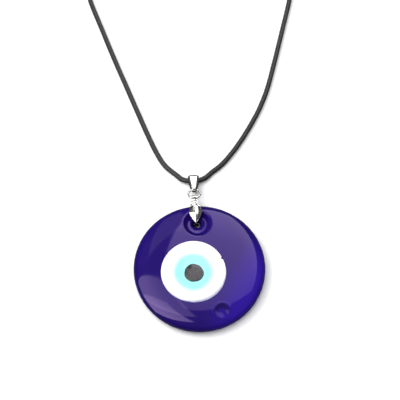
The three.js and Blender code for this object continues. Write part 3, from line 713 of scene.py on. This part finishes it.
white = outward(skin("white_pour", pour_rings(WHITE, white_top, white_bottom, TURQUOISE, 256, 60)))
turquoise = outward(
    skin("turquoise_pour", pour_rings(TURQUOISE, turquoise_top, turquoise_bottom, PUPIL, 160, 36))
)
pupil = outward(skin("pupil_pour", pour_rings(PUPIL, pupil_top, pupil_bottom, None, 120, 22)))
for piece, cad_node, slot_name in (
    (white, "eye_white", "white_glass"),
    (turquoise, "eye_turquoise", "turquoise_glass"),
    (pupil, "eye_pupil", "dark_glass"),
):
    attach(piece, "disc")
    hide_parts(cad_node)

MILK_WHITE = (0.94, 0.93, 0.945)
PALE_RIM_SHADE = (0.17, 0.20, 0.43)
TURQUOISE_MIDDLE = (0.33, 0.90, 0.90)
TURQUOISE_DEEP = (0.27, 0.84, 0.86)
PUPIL_BROWN = (0.058, 0.052, 0.058)
PUPIL_MOTTLE = 0.55
PUPIL_EDGE = (0.035, 0.055, 0.05)
PUPIL_BLACK = (0.004, 0.004, 0.006)

milk_finish, tree, shader = finish_of("milk_glass")
place = polished(tree, shader, clean=0.1, marked=0.2, ripple=0.01 * MM)
cloud = node(tree, "ShaderNodeTexNoise", {"Vector": place, "Scale": 260.0, "Detail": 4.0})
# Painted shade: the white's edge is painted pale blue, most along its lower side, broken up by a cloud
edge = band(tree, reach_from(tree, place, WHITE["x"] - 0.2 * MM, WHITE["y"] + MM), 11.8 * MM, 12.9 * MM)
lower_rim_shade = maths(tree, "MULTIPLY", edge, band(tree, cloud.outputs["Fac"], 0.35, 0.65, 0.55, 1.0))
colour = mix(tree, lower_rim_shade, MILK_WHITE, PALE_RIM_SHADE)
tree.links.new(colour, shader.inputs["Base Color"])
shader.inputs["Coat Weight"].default_value = 0.3
white.data.materials.append(milk_finish)

turquoise_finish, tree, shader = finish_of("turquoise_glass")
place = polished(tree, shader, clean=0.1, marked=0.2, ripple=0.01 * MM)
cloud = node(tree, "ShaderNodeTexNoise", {"Vector": place, "Scale": 160.0, "Detail": 4.0})
wander = maths(tree, "MULTIPLY", maths(tree, "SUBTRACT", cloud.outputs["Fac"], 0.5), 1.1 * MM)
reach = maths(tree, "ADD", reach_from(tree, place, TURQUOISE["x"], TURQUOISE["y"]), wander)
fade = band(tree, reach, 6.0 * MM, 8.6 * MM)
colour = mix(tree, cloud.outputs["Fac"], TURQUOISE_DEEP, TURQUOISE_MIDDLE)
tree.links.new(mix(tree, fade, colour, MILK_WHITE), shader.inputs["Base Color"])
shader.inputs["Coat Weight"].default_value = 0.3
turquoise.data.materials.append(turquoise_finish)

pupil_finish, tree, shader = finish_of("pupil_glass")
place = polished(tree, shader, clean=0.16, marked=0.34, ripple=0.04 * MM)
grain = node(tree, "ShaderNodeTexNoise", {"Vector": place, "Scale": 1500.0, "Detail": 6.0, "Roughness": 0.7})
mottle = band(tree, grain.outputs["Fac"], 0.35, 0.68)
colour = mix(tree, mottle, tuple(PUPIL_MOTTLE * part for part in PUPIL_BROWN), PUPIL_BROWN)
edge = band(tree, reach_from(tree, place, PUPIL["x"], PUPIL["y"]), 2.7 * MM, 3.4 * MM)
colour = mix(tree, edge, colour, PUPIL_EDGE)
off = reach_from(tree, place, PUPIL["x"] - 1.7 * MM, PUPIL["y"] + 2.5 * MM)
chip = band(tree, off, 1.3 * MM, 0.7 * MM)
colour = mix(tree, chip, colour, PUPIL_BLACK)
tree.links.new(colour, shader.inputs["Base Color"])
pupil.data.materials.append(pupil_finish)

# ---------- Pinch clip ----------
# One strip of bright silver-plated brass, folded over the jump ring. Its front leaf is pressed
# into a faceted kite with ridges above it, and a prong on each leaf grips the glass in the hole.

CLIP_WALL = 0.5 * MM
LEAF_HALF = 2.62 * MM
LEAF_RISE = 0.42 * MM
CLIP_BEND_Z = 3 * MM
CLIP_BEND_RADIUS = 0.85 * MM
LEAF_BACK = -0.55 * MM
LEAF_TOP = 6.97 * MM
BEND_SWEEP = 230
BEND_STEPS = 8
STRIP_STEP = 0.16 * MM

SILVER_BRIGHT = 0.07
SILVER_BLOOMED = 0.15
SILVER_DULL = (0.42, 0.41, 0.39)
SILVER_CLEAN = (0.52, 0.51, 0.49)
SILVER_RUBBED = (0.64, 0.63, 0.61)
HAIRLINES = 0.008 * MM

# Silver plate is rubbed bright on what stands out, with a faint bloom elsewhere
silver_finish, tree, shader = finish_of("silver_plate")
place = node(tree, "ShaderNodeTexCoord").outputs["Object"]
bloom = node(tree, "ShaderNodeTexNoise", {"Vector": place, "Scale": 420.0, "Detail": 5.0})
worn = node(tree, "ShaderNodeNewGeometry").outputs["Pointiness"]
worn = band(tree, worn, 0.47, 0.53)
rough = band(tree, bloom.outputs["Fac"], 0.35, 0.7, SILVER_BRIGHT, SILVER_BLOOMED)
tree.links.new(rough, shader.inputs["Roughness"])
dull = mix(tree, bloom.outputs["Fac"], SILVER_DULL, SILVER_CLEAN)
tree.links.new(mix(tree, worn, dull, SILVER_RUBBED), shader.inputs["Base Color"])
hair = node(tree, "ShaderNodeTexNoise", {"Vector": place, "Scale": 2600.0, "Detail": 2.0})
hair = hair.outputs["Fac"]
bump = node(tree, "ShaderNodeBump", {"Height": hair, "Distance": HAIRLINES, "Strength": 0.6})
tree.links.new(bump.outputs["Normal"], shader.inputs["Normal"])
shader.inputs["Metallic"].default_value = 1.0


def silver(piece, body, *cad_nodes):
    """Finishes a metal piece: crisp folds, silver plate, its body and the solids it stands for"""
    piece.data.set_sharp_from_angle(angle=math.radians(24))
    piece.data.materials.append(silver_finish)
    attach(piece, body)
    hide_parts(*cad_nodes)
    return piece


prong_point = Vector(disc_turn["pos_m"])
lower_wire = Vector(joints["clip_swing"]["pos_m"])
clip_along = (lower_wire - prong_point).normalized()
clip_right = clip_along.cross(disc_up)
clip_origin = prong_point - disc_up * CLIP_BEND_Z
bend_reach = (lower_wire - prong_point).length
rim_reach = RIM - PRONG_IN_DISC.y


def in_clip(x, y, z):
    """A point of the clip's own frame, Y from the prong to the ring, in the model's frame"""
    return clip_origin + clip_right * x + clip_along * y + disc_up * z


def clip_line():
    """Side view of the strip in the clip's frame: front leaf's tip, over the bend, back leaf's tip"""
    bend = []
    for step in range(BEND_STEPS + 1):
        angle = math.radians(BEND_SWEEP / 2 - BEND_SWEEP * step / BEND_STEPS)
        along = bend_reach + CLIP_BEND_RADIUS * math.cos(angle)
        bend.append((0, along, CLIP_BEND_Z + CLIP_BEND_RADIUS * math.sin(angle)))
    front = [
        (0, -0.25 * MM, LEAF_TOP - 0.75 * MM),
        (0, 1.4 * MM, LEAF_TOP - 0.3 * MM),
        (0, 3.6 * MM, LEAF_TOP),
        (0, rim_reach - 1.9 * MM, LEAF_TOP - 0.2 * MM),
        (0, rim_reach + 0.2 * MM, LEAF_TOP - 1.2 * MM),
        (0, rim_reach + 1.8 * MM, (LEAF_TOP + CLIP_BEND_Z) / 2 + 0.1 * MM),
    ]
    back = [
        (0, rim_reach + 1.9 * MM, (LEAF_BACK + CLIP_BEND_Z) / 2),
        (0, rim_reach + 0.5 * MM, LEAF_BACK + 0.35 * MM),
        (0, rim_reach - 1.2 * MM, LEAF_BACK),
        (0, 3.6 * MM, LEAF_BACK),
        (0, -0.25 * MM, LEAF_BACK),
    ]
    return smooth_line([*front, *bend, *back], STRIP_STEP)


LEAF_OUTLINE = [  # distance from the prong and half width, in millimetres
    (-0.3, 0.12), (0.0, 0.35), (0.9, 1.12), (2.4, 2.08), (3.7, 2.62), (5.0, 2.45), (6.3, 2.05),
    (7.3, 1.62), (7.8, 1.66), (8.5, 1.34), (9.1, 1.4), (9.8, 1.08), (10.6, 1.15), (14.0, 1.15),
]


def outline_at(outline, along):
    """Half width from a list of (distance, half width) in millimetres, straight between its points"""
    along /= MM
    for (a, wide_a), (b, wide_b) in zip(outline, outline[1:]):
        if along <= b:
            share = max(0.0, (along - a) / (b - a))
            return (wide_a + (wide_b - wide_a) * share) * MM
    return outline[-1][1] * MM


RIDGE_EVERY = 1.25 * MM
RIDGE_LEAN = 0.55
RIDGE_MIDDLE = 0.16 * MM
RIDGE_RISE = 0.13 * MM
LEAF_EDGE_LOW = 0.22 * MM
LEAF_EDGE_DROP = 0.12 * MM
FACET_OFF = 0.06


def leaf_relief(along, wide, front):
    """Across the strip: offsets from its middle, and how far each stands above the flat strip"""
    facet = 0.36 * wide
    bead = max(wide - 0.24 * MM, 0.7 * wide)
    off = FACET_OFF * wide
    stations = [-wide, -wide * 0.97, -bead, -(bead + facet) / 2, -facet + off]
    stations += [off, facet + off, (bead + facet) / 2, bead, wide * 0.97, wide]
    if not front:
        return [(x, 0.0 if abs(x) < wide * 0.95 else -LEAF_EDGE_DROP) for x in stations]
    grow = smoothstep(wide / LEAF_HALF)
    kite = LEAF_RISE * grow * smoothstep((6.9 * MM - along) / (1.2 * MM))
    ridged = smoothstep((along - 5.6 * MM) / (0.9 * MM))
    offsets = []
    for number, x in enumerate(stations):
        inner = min(number, 10 - number)
        low = -LEAF_EDGE_LOW * grow
        rise = (low - LEAF_EDGE_DROP, 0.4 * low, low, (low + kite) / 2, kite, kite)[inner]
        wave = math.cos((along + RIDGE_LEAN * abs(x)) * math.tau / RIDGE_EVERY)
        rise += ridged * (RIDGE_MIDDLE + RIDGE_RISE * wave) * (inner > 1)
        offsets.append((x, rise))
    return offsets


FRONT_SHARE = 0.45
INNER_SHARE = 0.985


def clip_rings():
    """The strip's cross-sections, square to its line, with the relief on the outer face"""
    line = clip_line()
    rings = []
    for number, point in enumerate(line):
        before, after = line[max(0, number - 1)], line[min(len(line) - 1, number + 1)]
        heading = (after - before).normalized()
        normal = Vector((0, -heading.z, heading.y))
        front = number < len(line) * FRONT_SHARE
        wide = outline_at(LEAF_OUTLINE, point.y)
        relief = leaf_relief(point.y, wide, front)
        outer = [in_clip(x, *(point + normal * (CLIP_WALL / 2 + rise)).yz) for x, rise in relief]
        below = (point - normal * (CLIP_WALL / 2)).yz
        inner = [in_clip(x * INNER_SHARE, *below) for x, rise in reversed(relief)]
        rings.append(outer + inner)
    return rings


PRONG_ROOT_RADIUS = 0.52 * MM
PRONG_TAPER = 0.45
PRONG_SIDES = 20
PRONG_RINGS = 12
PRONG_OFF = 0.33 * MM
PRONG_LEAN = 0.1 * MM


def prong_rings(root, tip):
    """A round prong with a domed tip, bent from the leaf into the hole"""
    rings = []
    for step in range(PRONG_RINGS + 1):
        share = step / PRONG_RINGS
        reach = PRONG_ROOT_RADIUS * (1 - PRONG_TAPER * share) * math.sqrt(max(0.02, 1 - share**8))
        lean = PRONG_OFF + PRONG_LEAN * share
        height = root + (tip - root) * share
        ring = []
        for j in range(PRONG_SIDES):
            angle = math.tau * j / PRONG_SIDES
            ring.append(in_clip(reach * math.cos(angle), lean + reach * math.sin(angle), height))
        rings.append(ring)
    return rings


silver(outward(skin("pinch_clip_strip", clip_rings())), "clip", "pinch_clip")
silver(outward(skin("front_prong", prong_rings(LEAF_TOP - 0.6 * MM, 3.35 * MM))), "clip")
silver(outward(skin("back_prong", prong_rings(LEAF_BACK, 2.2 * MM))), "clip")

# ---------- Jump ring ----------
# Round wire, 0.8 mm, wound on a rod, sawn and closed through the clip and the bail. The saw cut
# shows at the lower left, its ends not quite in line.

WIRE_RADIUS = 0.4 * MM
WIRE_SIDES = 20
RING_STEPS = 72
CUT_SPRING = 0.12 * MM
CUT_AT = math.radians(202)
CUT_OPEN = math.radians(9)

upper_wire = Vector(joints["ring_swing"]["pos_m"])
hang_right = Vector(joints["ring_swing"]["axis"]).normalized()
ring_along = (upper_wire - lower_wire).normalized()
ring_middle = (upper_wire + lower_wire) / 2
ring_radius = (upper_wire - lower_wire).length / 2


def open_ring(name, middle, right, along, radius, wire, cut_at, spring=0.0):
    """A cut ring of round wire; spring sets its two ends apart across the cut"""
    up = right.cross(along)
    path = []
    for step in range(RING_STEPS + 1):
        share = step / RING_STEPS
        angle = cut_at + CUT_OPEN / 2 + (math.tau - CUT_OPEN) * share
        spot = middle + (right * math.cos(angle) + along * math.sin(angle)) * radius
        path.append(spot + up * (spring * (share - 0.5)))
    return outward(skin(name, around(path, lambda distance, angle: wire, WIRE_SIDES, reference=up)))


jump_ring = open_ring(
    "jump_ring", ring_middle, hang_right, ring_along, ring_radius, WIRE_RADIUS, CUT_AT, CUT_SPRING
)
silver(jump_ring, "pendant_ring", "pendant_ring")

# ---------- Bail ----------
# A tapered strip of the same silver-plated brass, folded over the cord and curled round the ring.
# Its two ends meet in a fine seam at the back.

BAIL_WALL = 0.5 * MM
BAIL_TOP_RADIUS = 1.75 * MM
BAIL_FOOT_RADIUS = 1.0 * MM
BAIL_BEVEL = 0.72 * MM
BAIL_BEVEL_SLOPE = math.tan(math.radians(31))
BAIL_ROUND_GAP = 20  # degrees between the top's round and each straight side
BAIL_TOP_STEPS = 24
BAIL_FOOT_STEPS = 14
BAIL_STEP = 0.14 * MM
SEAM_OPEN = 0.1 * MM
BAIL_OUTLINE = [  # distance below the cord and half width, in millimetres
    (-2.2, 2.15), (-0.8, 2.15), (1.2, 1.9), (2.9, 1.5), (3.9, 1.2), (4.3, 0.95), (4.7, 0.85), (6.0, 0.85),
]

bail_down = (upper_wire - cord_hole).normalized()
bail_front = bail_down.cross(hang_right)
bail_front = bail_front if bail_front.z > 0 else -bail_front
bail_length = (upper_wire - cord_hole).length


def bail_line():
    """Side view, distances below the cord and in front of it: from the seam at the back over the
    cord, down the front, round the foot and up the back to the seam"""
    lean = math.degrees(math.acos((BAIL_TOP_RADIUS - BAIL_FOOT_RADIUS) / bail_length))
    over = 360 - 2 * BAIL_ROUND_GAP - 2 * lean
    points = []
    for step in range(BAIL_TOP_STEPS + 1):
        angle = math.radians(-lean - BAIL_ROUND_GAP - over * step / BAIL_TOP_STEPS)
        points.append((BAIL_TOP_RADIUS * math.cos(angle), BAIL_TOP_RADIUS * math.sin(angle)))
    for step in range(BAIL_FOOT_STEPS + 1):
        angle = math.radians(lean - 2 * lean * step / BAIL_FOOT_STEPS)
        down = bail_length + BAIL_FOOT_RADIUS * math.cos(angle)
        points.append((down, BAIL_FOOT_RADIUS * math.sin(angle)))
    side = math.radians(-lean)
    points.append((BAIL_TOP_RADIUS * math.cos(side) + SEAM_OPEN, BAIL_TOP_RADIUS * math.sin(side)))
    return smooth_line([(down, front, 0) for down, front in points], BAIL_STEP)


def bail_rings():
    """The strip's cross-sections, square to its line, with a bevel down both edges of the outside"""
    line = bail_line()
    rings = []
    for number, point in enumerate(line):
        before, after = line[max(0, number - 1)], line[min(len(line) - 1, number + 1)]
        heading = (after - before).normalized()
        normal = Vector((-heading.y, heading.x, 0))
        wide = outline_at(BAIL_OUTLINE, point.x)
        bevel = min(BAIL_BEVEL, 0.4 * wide)
        outer = []
        inner = []
        for x in (-wide, -wide + bevel / 2, -wide + bevel, 0.0, wide - bevel, wide - bevel / 2, wide):
            drop = max(0.0, abs(x) - (wide - bevel)) * BAIL_BEVEL_SLOPE
            for side, ring in ((BAIL_WALL / 2 - drop, outer), (-BAIL_WALL / 2, inner)):
                spot = point + normal * side
                ring.append(cord_hole + hang_right * x + bail_down * spot.x + bail_front * spot.y)
        rings.append(outer + inner[::-1])
    return rings


silver(outward(skin("bail_strip", bail_rings())), "bail", "bail")

# ---------- End fittings ----------
# Each cord end is crimped in a silver-plated sleeve with an eye. One eye holds a lobster clasp on
# a small ring, the other a chain of ten oval links with a flat drop, to set the length.

LINK_WIRE = 0.37 * MM
LINK_HALF = 1.1 * MM
LINK_STRAIGHT = 2.4 * MM
LINK_SIDES = 14
LINK_STEPS = 40
END_RING_WIRE = 0.3 * MM
STAMPED_EDGE = 0.09 * MM
WELD_WITHIN = 0.002 * MM


def link_rings(middle, along, side, up):
    """An oval link of round wire, soldered shut"""
    path = []
    for step in range(LINK_STEPS):
        angle = math.tau * step / LINK_STEPS
        straight = LINK_STRAIGHT / 2 * max(-1.0, min(1.0, 3 * math.cos(angle)))
        spot = middle + along * (straight + LINK_HALF * math.cos(angle))
        path.append(spot + side * (LINK_HALF * math.sin(angle)))
    return around(path, lambda distance, angle: LINK_WIRE, LINK_SIDES, reference=up, closed=True)


link_names = [f"chain_link_{number:02d}" for number in range(1, 11)]
link_joints = [Vector(joints[f"link_{number:02d}_turn"]["pos_m"]) for number in range(1, 11)]
link_joints.append(Vector(joints["drop_turn"]["pos_m"]))
for number, name in enumerate(link_names):
    start, end = link_joints[number], link_joints[number + 1]
    box_low, box_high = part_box(name)
    middle = (box_low + box_high) / 2
    along = (end - start).normalized()
    flat_side = UP.cross(along)
    side, up = (flat_side, UP) if number % 2 == 0 else (UP, flat_side)
    link = outward(skin(f"{name}_wire", link_rings(middle, along, side, up), closed=True))
    silver(link, name, name)

for name, joint_name, next_joint in (
    ("clasp_ring", "clasp_ring_turn", "clasp_turn"),
    ("chain_ring", "chain_ring_turn", "link_01_turn"),
):
    box_low, box_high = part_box(name)
    along = Vector(joints[next_joint]["pos_m"]) - Vector(joints[joint_name]["pos_m"])
    along.z = 0
    radius = (box_high.z - box_low.z) / 2 - END_RING_WIRE
    middle = (box_low + box_high) / 2
    end_ring = open_ring(
        f"{name}_wire", middle, along.normalized(), UP, radius, END_RING_WIRE, math.pi / 2
    )
    silver(end_ring, name, name)

for name in (
    "crimp_clasp_end",
    "crimp_chain_end",
    "clasp_body",
    "clasp_lever",
    "clasp_pin",
    "clasp_spring",
    "chain_drop",
):
    metal = frame["nodes"][name]
    metal.data.materials.clear()
    metal.data.materials.append(silver_finish)
    weld = metal.modifiers.new("weld", "WELD")
    weld.merge_threshold = WELD_WITHIN
    soften = metal.modifiers.new("soften", "BEVEL")
    soften.width = STAMPED_EDGE
    soften.segments = 2
    soften.limit_method = "ANGLE"
    soften.angle_limit = math.radians(35)

# ---------- Table and light ----------
# A matt white table top under a broad soft lamp overhead and a key lamp on the left. The glass and
# the silver mirror two sheets hung behind the pendant and two strips on its left, each of which
# fades towards its near end. The sheets and strips light nothing else.

TABLE_SIZE = 1.2
TABLE_WHITE = (0.93, 0.93, 0.93)
TABLE_WHITER = (0.95, 0.95, 0.95)
TABLE_MIRRORED = (0.16, 0.16, 0.165, 1)

table_mesh = bpy.data.meshes.new("table")
corners = [(x * TABLE_SIZE, y * TABLE_SIZE, 0) for x, y in ((-1, -1), (1, -1), (1, 1), (-1, 1))]
table_mesh.from_pydata(corners, [], [(0, 1, 2, 3)])
table = bpy.data.objects.new("table", table_mesh)
bpy.context.scene.collection.objects.link(table)
table_finish, tree, shader = finish_of("table_white")
place = node(tree, "ShaderNodeTexCoord").outputs["Object"]
fibre = node(tree, "ShaderNodeTexNoise", {"Vector": place, "Scale": 900.0, "Detail": 3.0})
paper = mix(tree, fibre.outputs["Fac"], TABLE_WHITE, TABLE_WHITER)
tree.links.new(paper, shader.inputs["Base Color"])
shader.inputs["Roughness"].default_value = 0.95
shader.inputs["Specular IOR Level"].default_value = 0.0
# Mirrored in glass and metal, the table looks dim, as a small sheet in a dark room would
seen_white = shader.outputs["BSDF"]
dim = node(tree, "ShaderNodeBsdfDiffuse", {"Color": TABLE_MIRRORED}).outputs["BSDF"]
mirrored = node(tree, "ShaderNodeLightPath").outputs["Is Glossy Ray"]
either = node(tree, "ShaderNodeMixShader", {0: mirrored, 1: seen_white, 2: dim}).outputs["Shader"]
tree.links.new(either, tree.nodes["Material Output"].inputs["Surface"])
table_mesh.materials.append(table_finish)


FADE_ALONG = 0.45
FADE_ACROSS = 0.35


def soft_box(name, near, far, width, bright, tint=(1, 1, 1), side=1.0):
    """A flat lamp between the middles of its two ends, facing the pendant. It goes from the first
    brightness at its near end to the second, and falls to side at the edge that its X points to"""
    near = Vector(near)
    far = Vector(far)
    middle = (near + far) / 2
    along = (far - near).normalized()
    back = (middle - along * middle.dot(along)).normalized()
    lamp = bpy.data.objects.new(name, bpy.data.lights.new(name, "AREA"))
    bpy.context.scene.collection.objects.link(lamp)
    lamp.data.shape = "RECTANGLE"
    lamp.data.size = width
    lamp.data.size_y = (far - near).length
    lamp.data.energy = math.pi * lamp.data.size * lamp.data.size_y
    lamp.data.color = tint
    lamp.data.use_nodes = True
    tree = lamp.data.node_tree
    spot = node(tree, "ShaderNodeNewGeometry").outputs["Parametric"]
    shares = node(tree, "ShaderNodeSeparateXYZ", {"Vector": spot}).outputs
    fade = band(tree, shares["Y"], 0.0, FADE_ALONG, *bright)
    fade = maths(tree, "MULTIPLY", fade, band(tree, shares["X"], FADE_ACROSS, 1.0, 1.0, side))
    tree.links.new(fade, tree.nodes["Emission"].inputs["Strength"])
    turned = Matrix((along.cross(back), along, back)).transposed()
    lamp.matrix_world = Matrix.Translation(middle) @ turned.to_4x4()
    lamp.visible_camera = False
    return lamp


WARM = (1.0, 0.97, 0.88)
for lamp in (
    soft_box("sheet_behind", (0.25, 0.0, 0.9), (0.2, 1.35, 0.45), 0.7, (1.1, 3.1)),
    soft_box("sheet_left", (-0.2, 0.36, 0.8), (-0.42, 1.2, 0.45), 0.3, (0.6, 0.6)),
    soft_box("strip_left", (-0.05, 0.02, 0.8), (-0.85, -0.13, 0.28), 0.34, (1.5, 2.8), WARM),
    soft_box("strip_low", (-0.12, -0.18, 0.75), (-0.85, -0.38, 0.28), 0.40, (3.2, 4.6), WARM, 0.5),
):
    lamp.visible_diffuse = False
for lamp in (
    soft_box("overhead", (-0.2, -0.6, 1.1), (-0.2, 1.0, 1.1), 1.5, (2.4, 2.4)),
    soft_box("key_left", (-0.95, 0.1, 0.75), (-0.55, 0.6, 0.75), 0.7, (4.5, 4.5)),
):
    lamp.visible_glossy = False

WORLD_LOW = 0.04
WORLD_HIGH = 0.25
WORLD_SEEN = 1.0
WORLD_COLOUR = (0.94, 0.96, 1.0, 1)
world = bpy.data.worlds.new("studio")
world.use_nodes = True
tree = world.node_tree
sky = node(tree, "ShaderNodeTexCoord").outputs["Generated"]
height = node(tree, "ShaderNodeSeparateXYZ", {"Vector": sky}).outputs["Z"]
seen = node(tree, "ShaderNodeLightPath").outputs["Is Camera Ray"]
seen = maths(tree, "MULTIPLY", seen, WORLD_SEEN)
glow = band(tree, height, 0.1, 0.8, WORLD_LOW, WORLD_HIGH)
glow = maths(tree, "MAXIMUM", glow, seen)
tree.links.new(glow, tree.nodes["Background"].inputs["Strength"])
tree.nodes["Background"].inputs["Color"].default_value = WORLD_COLOUR
bpy.context.scene.world = world
bpy.context.scene.view_settings.view_transform = "Standard"
